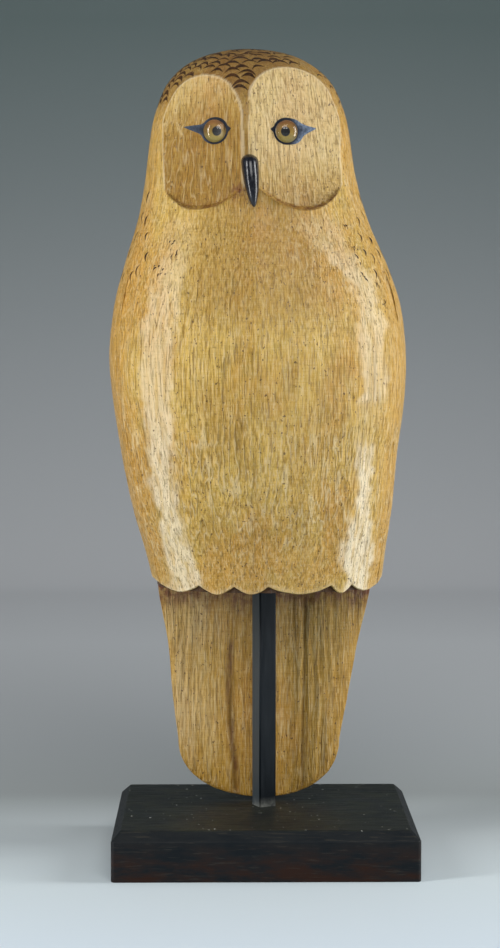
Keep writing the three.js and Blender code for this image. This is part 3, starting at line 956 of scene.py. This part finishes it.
def tailPlaces():
    turns = turnsOf(tailGrid)
    straight = np.linspace(tailGrid["top"], tail["roundFrom"], tailGrid["rows"] + 1)
    tip = tail["roundFrom"] - (tail["roundFrom"] - level["tailTip"]) * np.sin(
        np.linspace(0, np.pi / 2, tailGrid["tipRows"] + 1)[1:]
    )
    heights = np.concatenate([[tailGrid["top"]], straight, tip])
    turn, z = np.meshgrid(turns, heights)
    share = np.sin(turn)
    isFront = np.cos(turn) >= 0
    x, y = tailPlace(share, isFront, z)
    places = np.stack([x, y, z], axis=2)
    out = outwardOf(places)
    lane = x + np.where(isFront, 0, 300)
    drift = 2.5 * np.sin(z / 37 + x / 40)
    wide = scoops(lane + drift, z, 10.5, 85, 41)
    fine = ripple(lane / 1.9, z / 20, 42)
    middling = scoops(lane + drift, z, 4.4, 38, 43)
    depth = tailCuts["gougeDepth"] * wide + tailCuts["fineDepth"] * (fine + middling)
    hollowX = tailHollow["x"] + tailHollow["sway"] * np.sin(z / 31)
    fade = smooth(tailHollow["top"], tailHollow["top"] - tailHollow["fade"], z)
    grooves = bell(x - hollowX, tailHollow["width"]) * fade
    grooveX = tailGroove["x"] - (200 - z) * tailGroove["slope"]
    grooves = grooves * tailHollow["depth"] + bell(x - grooveX, tailGroove["width"]) * tailGroove["depth"]
    depth = depth + grooves * isFront
    sideOn = np.abs(share) ** 6
    depth = depth * (1 - 0.7 * sideOn) * smooth(level["tailTip"], level["tailTip"] + 8, z)
    depth = np.where(z >= tailGrid["top"], 0, depth)
    places = places - out * depth[:, :, None]
    places[0] = places[0].mean(axis=0)
    places[-1] = (0, tail["edge"], level["tailTip"])
    # painted shade on the tail under the skirt, darkest next to it
    shade = smooth(194 + 16 * ripple(x / 7, x * 0, 81), 230, z) * isFront
    # painted shade in the gouges and grooves of the tail
    hollow = np.clip(wide * 0.08 + (fine - 0.5) * 0.35 + grooves * 0.5 * isFront, 0, 1)
    # painted shade in the deepest grooves
    inGroove = np.clip(grooves - 0.4, 0, 1) * isFront * ripple(x / 4, z / 12, 83)
    marks = {
        "pale": z * 0.0,
        "golden": np.clip(0.28 + 0.3 * smooth(-55, -20, x) * smooth(25, 0, x), 0, 1),
        "rubbed": smooth(-25, -60, x) * smooth(60, 100, z) * 0.3 * isFront * ripple(x / 9, z / 40, 62),
        "tinted": np.clip(0.6 * shade, 0, 1),
        "brown": np.clip(0.3 * shade + 0.8 * inGroove, 0, 1),
        "grime": np.clip(shade + 0.6 * inGroove, 0, 1),
        "hollow": hollow,
        "gouged": 0.5 + z * 0,
        "flank": 0.5 + 0.4 * smooth(0.7, 0.95, np.abs(share)),
        "arris": z * 0.0,
    }
    return places, marks


carvedTail = finished(wrapped(*tailPlaces()), "carvedTail", woodMaterial)
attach(carvedTail, "root")
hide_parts("owl_body")
print("tail carved:", len(carvedTail.data.polygons), "faces")


skin = bmesh.new()
skin.from_mesh(carvedBody.data)
bodySkin = BVHTree.FromBMesh(skin)  # taken before the eyes' seats are sunk, so that paint lies flush
skin.free()


def laidOn(x, y, z, lift):
    # the place on the carving nearest to a point, just clear of it
    place, normal, _, _ = bodySkin.find_nearest(Vector((x, y, z)) * mm)
    return place + normal * lift * mm


def laidStroke(sheet, faint, turn, z, size, tilt, thick, isFaint=0.0, grow=1.0):
    # one brush stroke on the surface, thick in the middle and pointed at its ends
    made = bmesh.ops.create_grid(sheet, x_segments=feathers["segments"], y_segments=1, size=0.5)
    x, y = torsoAt(turn, z)
    place, out, _, _ = bodySkin.find_nearest(Vector((x, y, z)) * mm)
    sideways = Vector((-out.y, out.x, 0)).normalized()
    upward = out.cross(sideways)
    cos, sin = math.cos(tilt), math.sin(tilt)
    for v in made["verts"]:
        t = v.co.x * 2
        along = t * size["width"] * grow / 2
        half = thick * (1 - abs(t) ** 2.2) * 0.5 + 0.1
        up = size["height"] * grow * (0.5 - t * t) + (half if v.co.y > 0 else -half)
        at = place / mm + sideways * (along * cos - up * sin) + upward * (along * sin + up * cos)
        v.co = laidOn(*at, feathers["lift"])
        v.co.z = min(v.co.z, level["crown"] * mm)
        v[faint] = isFaint


def onFace(turn, z):
    # whether a mark there would run onto a facial disc
    x, y = torsoAt(turn, z)
    return math.cos(turn) > 0.02 and z > disc["lowest"] + 5 and discCutY(x, z) - y > -feathers["offFace"]


def crownArches(sheet, faint, rng):
    crown = feathers["crown"]
    for row, z in enumerate(evenHeights(crown["high"], crown["low"], crown["rows"])):
        section = torsoSection(z)
        reach = (section["front"] + section["right"] + section["left"]) / 3
        count = max(5, int(2 * math.pi * reach / (crown["width"] * 1.02)))
        for k in range(count):
            turn = -math.pi + (k + 0.5 * (row % 2)) * 2 * math.pi / count + rng.uniform(-1.2, 1.2) / reach
            place = z + rng.uniform(-1.3, 1.3)
            size = rng.uniform(0.8, 1.2)
            tilt = rng.uniform(-0.2, 0.2)
            thick = crown["thick"] * rng.uniform(0.7, 1.35)
            worn = smooth(0.35, 1.1, turn) * (abs(turn) < 1.6)  # to the right, and low down behind
            worn = worn + smooth(668, 644, z) * smooth(1.6, 2.2, abs(turn))
            if onFace(turn, place) or rng.uniform() < 0.55 * worn:
                continue
            laidStroke(sheet, faint, turn, place, crown, tilt, thick * (1 - 0.4 * worn), 0.3 * worn, size)


def crescents(sheet, faint, rng, kind):
    # rows of crescents down both sides, which open out as they go down
    span = kind["to"] - kind["from"]
    columns = range(int(span / kind["step"]) + 1)
    for row in range(60):
        height = kind["high"] - kind["pitch"] * row * min(1, kind["closer"] + 0.06 * row)
        if height < kind["low"]:
            break
        for sign, column in [(sign, column) for sign in (-1, 1) for column in columns]:
            away = (column + 0.5 * (row % 2)) * kind["step"]
            turn = sign * math.radians(kind["to"] - away + rng.uniform(-2.2, 2.2))
            tilt = -sign * math.radians(mix(*kind["tilt"], away / span))
            place = height + rng.uniform(-3, 3)
            isChosen = rng.uniform() < kind["share"]
            size = rng.uniform(0.75, 1.2)
            thick = kind["thick"] * rng.uniform(0.7, 1.3)
            isTwin = kind["to"] - away == 180 and sign < 0  # the middle of the back has one mark, not two
            if isChosen and not isTwin and not onFace(turn, place):
                laidStroke(sheet, faint, turn, place, kind, tilt, thick, 0.15, size)


def shoulderFlecks(sheet, faint, rng):
    # worn flecks of the same black
    for x, z in feathers["flecks"]:
        section = torsoSection(z)
        half = section["left"] if x < section["middle"] else section["right"]
        turn = math.asin(max(-1, min(1, (x - section["middle"]) / half)))
        for _ in range(3):
            place = z + rng.uniform(-3, 3)
            tilt = rng.uniform(0.6, 1.6) * (1 if x < 0 else -1)
            shifted = turn + rng.uniform(-0.03, 0.03)
            thick = rng.uniform(0.7, 1.6)
            grow = rng.uniform(0.6, 1.3)
            laidStroke(sheet, faint, shifted, place, feathers["fleck"], tilt, thick, 0.5, grow)


def paintedMarks():
    sheet = bmesh.new()
    faint = sheet.verts.layers.float.new("faint")
    rng = np.random.RandomState(11)
    crownArches(sheet, faint, rng)
    crescents(sheet, faint, rng, feathers["side"])
    crescents(sheet, faint, rng, feathers["back"])
    shoulderFlecks(sheet, faint, rng)
    bmesh.ops.recalc_face_normals(sheet, faces=sheet.faces)
    return finished(sheet, "featherMarks", paintMaterial)


featherMarks = paintedMarks()
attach(featherMarks, "root")
print("feather marks painted:", len(featherMarks.data.polygons), "faces")

# Eyes
eyes = {
    "left": {"x": -27.0, "wing": 26.6, "wingRise": 0.18, "shawl": 0.4, "blue": 0.3, "pupil": 1.7},
    "right": {"x": 31.5, "wing": 25.7, "wingRise": 0.15, "shawl": 3.2, "blue": 1.0, "pupil": -1.0},
    "height": 612,
    "across": 18.4,
    "dome": 5,
    "proud": 1,
    "stem": 0.9,
    "irisDepth": 0.55,
    "turn": 18,
    "seat": 6,
    "seatRoom": 0.45,
    "seatReach": 12,
    "rings": 20,
    "around": 48,
}
# the ring painted round the eye, with its inner point and its outer wing; angles in radians
ring = {
    "reach": 10.75,
    "above": 0.75,
    "point": 2.6,
    "pointDrop": 0.12,
    "pointWidth": 0.28,
    "wingWidth": 0.66,
    "around": 180,
    "rows": 5,
    "lift": 0.15,
}


def eyePlace(name):
    x = middleX(eyes["height"]) + eyes[name]["x"]
    y = discFlatY(x, eyes["height"], name)
    return Vector((x, y, eyes["height"])), math.radians(signs[name] * eyes["turn"])


def settle(piece, place, turn):
    # scales a piece made in millimetres to metres, turns it about Z and moves it to its place
    bmesh.ops.scale(piece, vec=(mm, mm, mm), verts=piece.verts)
    cos, sin = math.cos(turn), math.sin(turn)
    for v in piece.verts:
        x, y, z = v.co
        v.co = Vector((x * cos - y * sin, x * sin + y * cos, z)) + place * mm


def sinkSeat(name):
    # a round seat in the carving, so that the back of the eye shows through its glass
    place, turn = eyePlace(name)
    outward = Vector((math.sin(turn), -math.cos(turn), 0))
    reach = eyes["across"] / 2 + eyes["seatRoom"]
    for v in carvedBody.data.vertices:
        offset = v.co / mm - place
        depth = offset.dot(outward)
        if abs(depth) < eyes["seatReach"] and (offset - outward * depth).length < reach:
            v.co -= outward * eyes["seat"] * mm


def glassEye(name):
    # a clear dome on a short round stem, spun about its axis
    half = eyes["across"] / 2
    outline = [(0, -(eyes["proud"] + eyes["dome"]))]
    for i in range(1, eyes["rings"] + 1):
        a = math.pi / 2 * (1 - i / eyes["rings"])
        outline.append((half * math.cos(a), -(eyes["proud"] + eyes["dome"] * math.sin(a))))
    outline += [(half, eyes["stem"] - 0.3), (half - 0.3, eyes["stem"]), (0, eyes["stem"])]
    glass = bmesh.new()
    line = [glass.verts.new((x, y, 0)) for x, y in outline]
    edges = [glass.edges.new(pair) for pair in zip(line, line[1:])]
    bmesh.ops.spin(
        glass, geom=line + edges, cent=(0, 0, 0), axis=(0, 1, 0), dvec=(0, 0, 0),
        angle=2 * math.pi, steps=eyes["around"], use_merge=True, use_duplicate=False,
    )
    bmesh.ops.remove_doubles(glass, verts=glass.verts, dist=0.01)
    bmesh.ops.recalc_face_normals(glass, faces=glass.faces)
    settle(glass, *eyePlace(name))
    shape = finished(glass, "glassEye" + name.capitalize(), glassMaterial)
    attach(shape, "root")
    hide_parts("glass_eye_" + name)


def paintedIris(name):
    # the painted back of the eye: a flat disc with iris and pupil
    half = eyes["across"] / 2
    edge = half - 0.1
    back = bmesh.new()
    bmesh.ops.create_circle(back, cap_ends=True, cap_tris=True, segments=eyes["around"], radius=edge)
    spokes = [e for e in back.edges if len(e.link_faces) == 2]
    bmesh.ops.subdivide_edges(back, edges=spokes, cuts=8, use_grid_fill=True)
    radius, pupil, upper = (back.verts.layers.float.new(mark) for mark in ("radius", "pupil", "upper"))
    for v in back.verts:
        v[radius] = math.hypot(v.co.x, v.co.y) / edge
        v[pupil] = math.hypot(v.co.x - eyes[name]["pupil"], v.co.y) / edge
        v[upper] = 0.5 + 0.5 * max(-1, min(1, v.co.y / half * 1.5))
        v.co = Vector((v.co.x, eyes["irisDepth"], v.co.y))
    bmesh.ops.recalc_face_normals(back, faces=back.faces)
    if sum(f.normal.y for f in back.faces) > 0:
        bmesh.ops.reverse_faces(back, faces=back.faces)
    settle(back, *eyePlace(name))
    shape = finished(back, "iris" + name.capitalize(), irisMaterial)
    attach(shape, "root")


def angleFrom(a, middle):
    return math.atan2(math.sin(a - middle), math.cos(a - middle))


def paintedRing(name):
    # the black ring painted round the eye, with its inner point and its long outer wing
    side = eyes[name]
    place, _ = eyePlace(name)
    sheet = bmesh.new()
    bmesh.ops.create_grid(sheet, x_segments=ring["around"], y_segments=ring["rows"], size=0.5)
    blue = sheet.verts.layers.float.new("blue")
    for v in sheet.verts:
        a = 2 * math.pi * (v.co.x + 0.5)
        share = v.co.y + 0.5
        toWing = angleFrom(a, side["wingRise"])
        toPoint = angleFrom(a, math.pi - ring["pointDrop"])
        rim = ring["reach"] + ring["above"] * max(0, math.sin(a))
        rim += ring["point"] * max(0, 1 - abs(toPoint) / ring["pointWidth"]) ** 1.5
        rim += side["shawl"] * smooth(1.5, 0.3, abs(toWing + 0.15))
        wing = max(0, 1 - abs(toWing) / ring["wingWidth"])
        reach = rim + max(0, side["wing"] - rim) * wing**3.6
        r = mix(eyes["across"] / 2 - 0.1, reach, share)
        v[blue] = side["blue"] * smooth(1.35, 0.7, abs(toWing + 0.15)) * share
        x = place.x + signs[name] * r * math.cos(a)
        z = place.z + r * math.sin(a)
        v.co = laidOn(x, discCutY(x, z), z, ring["lift"])
    bmesh.ops.remove_doubles(sheet, verts=sheet.verts, dist=1e-6)
    bmesh.ops.recalc_face_normals(sheet, faces=sheet.faces)
    shape = finished(sheet, "eyeRing" + name.capitalize(), eyePaintMaterial)
    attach(shape, "root")


for name in ("left", "right"):
    sinkSeat(name)
    glassEye(name)
    paintedIris(name)
    paintedRing(name)
print("eyes set")

# Beak
beak = {
    "top": 592.5,
    "tip": 549.3,
    "width": 14.2,
    "widestAt": 0.148,
    "taper": 1.8,
    "rootY": -80,
    "forward": 11,
    "depthTop": 11,
    "depthTip": 8,
    "drift": 1.6,
    "around": 48,
    "rings": 60,
}


def beakPlaces():
    turn, t = np.meshgrid(
        np.linspace(0, 2 * np.pi, beak["around"] + 1),
        0.5 - 0.5 * np.cos(np.linspace(0, np.pi, beak["rings"] + 1)),
    )
    above = np.maximum(0, 1 - t / beak["widestAt"])
    below = np.maximum(0, (t - beak["widestAt"]) / (1 - beak["widestAt"]))
    full = rounded(above, 2) * rounded(below, beak["taper"])
    z = mix(beak["top"], beak["tip"], t)
    x = middleX(z) + beak["drift"] * t**1.5 + beak["width"] / 2 * full * np.sin(turn)
    deep = mix(beak["depthTop"], beak["depthTip"], t) * full**0.8
    y = beak["rootY"] - beak["forward"] * np.sin(np.pi / 2 * t**0.8) - deep * np.cos(turn)
    return np.stack([x, y, z], axis=2), {}


hookedBeak = finished(wrapped(*beakPlaces()), "hookedBeak", beakMaterial)
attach(hookedBeak, "root")
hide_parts("beak")
print("beak set")

# Post and block
post = {"side": 15.9, "corner": 1.6, "turn": 25, "y": 5, "foot": 17.3, "top": 276}
block = {"width": 254, "depth": 203.2, "height": 41.3, "bevel": 7.9, "corner": 3.5, "arris": 0.8}


def squared(width, depth, height, corner, segments):
    # a bar round the origin, with its upright corners rounded
    piece = bmesh.new()
    bmesh.ops.create_cube(piece, size=1)
    bmesh.ops.scale(piece, vec=(width, depth, height), verts=piece.verts)
    upright = [e for e in piece.edges if abs(e.verts[0].co.z - e.verts[1].co.z) > 1]
    bmesh.ops.bevel(
        piece, geom=upright, offset=corner, affect="EDGES", segments=segments, profile=0.5, material=-1,
    )
    return piece


def squarePost():
    bar = squared(post["side"], post["side"], post["top"] - post["foot"], post["corner"], 4)
    # the left face is painted lighter, a painted reflection of the light on that side
    sheenFace = bar.verts.layers.float.new("rubbed")
    for v in bar.verts:
        v[sheenFace] = 1.0 if v.co.x < -post["side"] / 2 + 0.05 else 0.0
    settle(bar, Vector((0, post["y"], (post["top"] + post["foot"]) / 2)), math.radians(post["turn"]))
    return finished(bar, "squarePost", barMaterial)


squareBar = squarePost()
squareBar.modifiers.new("shade", "WEIGHTED_NORMAL")
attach(squareBar, "root")
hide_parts("post")


def wornBlock():
    slab = squared(block["width"], block["depth"], block["height"], block["corner"], 5)
    bmesh.ops.translate(slab, vec=(0, 0, block["height"] / 2), verts=slab.verts)
    bmesh.ops.bisect_plane(
        slab, geom=slab.verts[:] + slab.edges[:] + slab.faces[:],
        plane_co=(0, 0, block["height"] - block["bevel"]), plane_no=(0, 0, 1),
    )
    top = [v for v in slab.verts if v.co.z > block["height"] - 1]
    inset = [1 - 2 * block["bevel"] / block[side] for side in ("width", "depth")]
    bmesh.ops.scale(slab, vec=(*inset, 1), verts=top)
    levelEdges = [e for e in slab.edges if abs(e.verts[0].co.z - e.verts[1].co.z) < 0.01]
    rims = [e for e in levelEdges if e.calc_face_angle(0) > 0.5]
    bmesh.ops.bevel(
        slab, geom=rims, offset=block["arris"], affect="EDGES", segments=3, profile=0.5, material=-1,
    )
    bmesh.ops.scale(slab, vec=(mm, mm, mm), verts=slab.verts)
    bmesh.ops.recalc_face_normals(slab, faces=slab.faces)
    return finished(slab, "standBlock", blockMaterial)


standBlock = wornBlock()
standBlock.modifiers.new("shade", "WEIGHTED_NORMAL")
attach(standBlock, "root")
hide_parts("base")
print("stand made")

# Stage, camera and light
stage = {"width": 12, "front": -6, "back": 1.9, "sweep": 0.9, "height": 3}
# the paper's tone by its run back from the object and up, in metres; it paints the shadow behind the block as
# a darker band, and the light falling off up the wall as darkening
paperTones = [
    (-0.3, (0.66, 0.76, 0.85)),
    (-0.1, (0.63, 0.72, 0.77)),
    (0.05, (0.50, 0.56, 0.59)),
    (0.25, (0.30, 0.33, 0.34)),
    (0.5, (0.37, 0.40, 0.42)),
    (1.3, (0.61, 0.64, 0.67)),
    (2.0, (0.68, 0.70, 0.73)),
    (3.0, (0.42, 0.45, 0.47)),
    (3.9, (0.155, 0.20, 0.20)),
]


def stagePaper():
    material, tree = newMaterial("stagePaper")
    split = addNode(tree, "ShaderNodeSeparateXYZ")
    tree.links.new(objectPlace(tree), split.inputs["Vector"])
    run = sums(tree, "ADD", split.outputs["Y"], split.outputs["Z"])
    tones = addNode(tree, "ShaderNodeValToRGB")
    low, high = paperTones[0][0], paperTones[-1][0]
    for end in (0, -1):  # the ramp's own two stops
        tones.color_ramp.elements[end].color = (*paperTones[end][1], 1)
    for at, tone in paperTones[1:-1]:
        tones.color_ramp.elements.new((at - low) / (high - low)).color = (*tone, 1)
    tree.links.new(ranged(tree, run, low, high), tones.inputs["Fac"])
    coated(tree, tones.outputs["Color"], 0.9, 0.1)
    return material


def pushed(paper, edges, by):
    # extrudes edges and moves the new ones, which it gives back with their ends
    made = bmesh.ops.extrude_edge_only(paper, edges=edges)["geom"]
    bmesh.ops.translate(paper, vec=by, verts=[g for g in made if isinstance(g, bmesh.types.BMVert)])
    return [g for g in made if isinstance(g, (bmesh.types.BMEdge, bmesh.types.BMVert))]


def sweep():
    paper = bmesh.new()
    near = [paper.verts.new((side * stage["width"] / 2, stage["front"], 0)) for side in (-1, 1)]
    far = pushed(paper, [paper.edges.new(near)], (0, stage["back"] - stage["front"], 0))
    turned = bmesh.ops.spin(
        paper, geom=far, cent=(0, stage["back"], stage["sweep"]), axis=(1, 0, 0), dvec=(0, 0, 0),
        angle=math.pi / 2, steps=24, use_merge=False, use_duplicate=False,
    )["geom_last"]
    pushed(paper, [g for g in turned if isinstance(g, bmesh.types.BMEdge)], (0, 0, stage["height"]))
    bmesh.ops.recalc_face_normals(paper, faces=paper.faces)
    return finished(paper, "paperSweep", stagePaper())


sweep()

camera = {"place": (-0.0335, -1.8844, 0.4485), "yaw": -0.65, "pitch": 3.66, "lens": 56.03, "sensor": 24}


def setCamera():
    lens = bpy.data.cameras.new("viewCamera")
    lens.sensor_fit = "VERTICAL"
    lens.sensor_height = camera["sensor"]
    lens.lens = camera["lens"]
    eye = newObject("viewCamera", lens)
    eye.location = camera["place"]
    eye.rotation_euler = (math.radians(90 - camera["pitch"]), 0, math.radians(camera["yaw"]))
    bpy.context.scene.camera = eye


setCamera()

# each softbox: its angle from the front, distance, height of its middle, what it aims at, size and power
lights = {
    "leftBox": {
        "angle": -64, "distance": 1.4, "height": 0.74, "aim": (0, 0, 0.67), "size": (0.29, 1.45), "power": 17,
    },
    "rightBox": {
        "angle": 85, "distance": 1.4, "height": 0.68, "aim": (0, 0, 0.61), "size": (0.42, 1.45), "power": 22,
    },
    "frontBox": {
        "angle": 8, "distance": 1.9, "height": 1.7, "aim": (0, 0, 0.72), "size": (1.3, 1.0), "power": 22,
    },
    "backdropBox": {
        "angle": 180, "distance": 0.9, "height": 2.3, "aim": (0, 2.6, 0.5), "size": (2.6, 0.5), "power": 12,
    },
}
lampColour = (1, 0.987, 0.965)


def addSoftbox(name, angle, distance, height, aim, size, power):
    lamp = bpy.data.lights.new(name, "AREA")
    lamp.shape = "RECTANGLE"
    lamp.size, lamp.size_y = size
    lamp.energy = power
    lamp.color = lampColour
    box = newObject(name, lamp)
    turn = math.radians(angle)
    box.location = (math.sin(turn) * distance, -math.cos(turn) * distance, height)
    box.rotation_euler = (Vector(aim) - box.location).to_track_quat("-Z", "Y").to_euler()
    box.visible_camera = False


for name, box in lights.items():
    addSoftbox(name, **box)


def setSky():
    sky = bpy.data.worlds.new("studioSky")
    bpy.context.scene.world = sky
    sky.use_nodes = True
    back = sky.node_tree.nodes["Background"]
    back.inputs["Color"].default_value = (0.85, 0.92, 1.0, 1)
    back.inputs["Strength"].default_value = 0.12


setSky()
bpy.context.scene.view_settings.view_transform = "Standard"
print("stage set")
